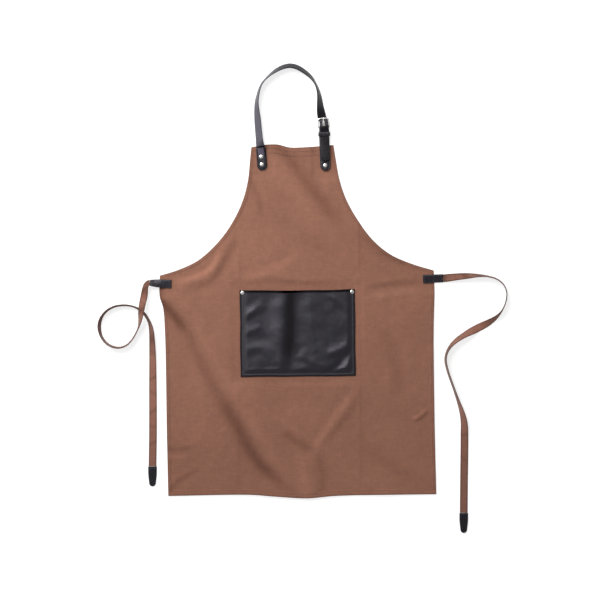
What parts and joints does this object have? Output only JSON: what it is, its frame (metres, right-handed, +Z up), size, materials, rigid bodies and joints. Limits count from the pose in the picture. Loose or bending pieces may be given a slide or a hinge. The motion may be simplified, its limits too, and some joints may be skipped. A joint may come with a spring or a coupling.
{
  "type": "butcher apron",
  "caption": "Bib apron in cotton canvas with a riveted leather pocket, an adjustable buckled leather neck strap, and waist ties with leather tips.",
  "frame": {"origin": "on the surface the apron lies on, under the middle of its box without the waist ties", "axes": "+Y towards the neck strap, +X to the right of the front as seen from above, +Z up out of the front"},
  "size_m": [0.9816, 1.1256, 0.0309],
  "materials": {
    "canvas": "matt brown cotton canvas",
    "tape": "matt brown woven cotton tape",
    "strap_leather": "smooth black leather, satin",
    "pocket_leather": "soft black leather, low gloss, fine grain",
    "nickel": "polished nickel plate"
  },
  "bodies": {
    "apron": {"apron_body": "canvas", "pocket": "pocket_leather", "left_strap_backing": "strap_leather", "neck_strap": "strap_leather", "right_chape": "strap_leather", "rivet_neck_left_upper": "nickel", "rivet_back_neck_left_upper": "nickel", "rivet_neck_left_lower": "nickel", "rivet_back_neck_left_lower": "nickel", "rivet_neck_right_upper": "nickel", "rivet_back_neck_right_upper": "nickel", "rivet_neck_right_lower": "nickel", "rivet_back_neck_right_lower": "nickel", "rivet_pocket_left": "nickel", "rivet_back_pocket_left": "nickel", "rivet_pocket_right": "nickel", "rivet_back_pocket_right": "nickel", "right_side_tab": "strap_leather", "right_waist_tie": "tape", "right_tie_tip": "strap_leather", "left_side_tab": "strap_leather", "left_waist_tie": "tape", "left_tie_tip": "strap_leather"},
    "keeper": {"keeper_loop": "strap_leather"},
    "buckle": {"buckle_frame": "nickel"},
    "prong": {"buckle_prong": "nickel"}
  },
  "joints": [
    {"name": "keeper_slide", "type": "slide", "parent": "apron", "child": "keeper", "axis": [-0.0384, 0.9993, 0], "range_m": [-0.018, 0.001]},
    {"name": "buckle_tilt", "type": "hinge", "parent": "apron", "child": "buckle", "pos_m": [0.0646, 0.366, 0.00405], "axis": [0.9993, 0.0384, 0], "range_deg": [0, 8]},
    {"name": "prong_tilt", "type": "hinge", "parent": "buckle", "child": "prong", "pos_m": [0.0646, 0.366, 0.00405], "axis": [0.9993, 0.0384, 0], "range_deg": [0, 6]}
  ]
}
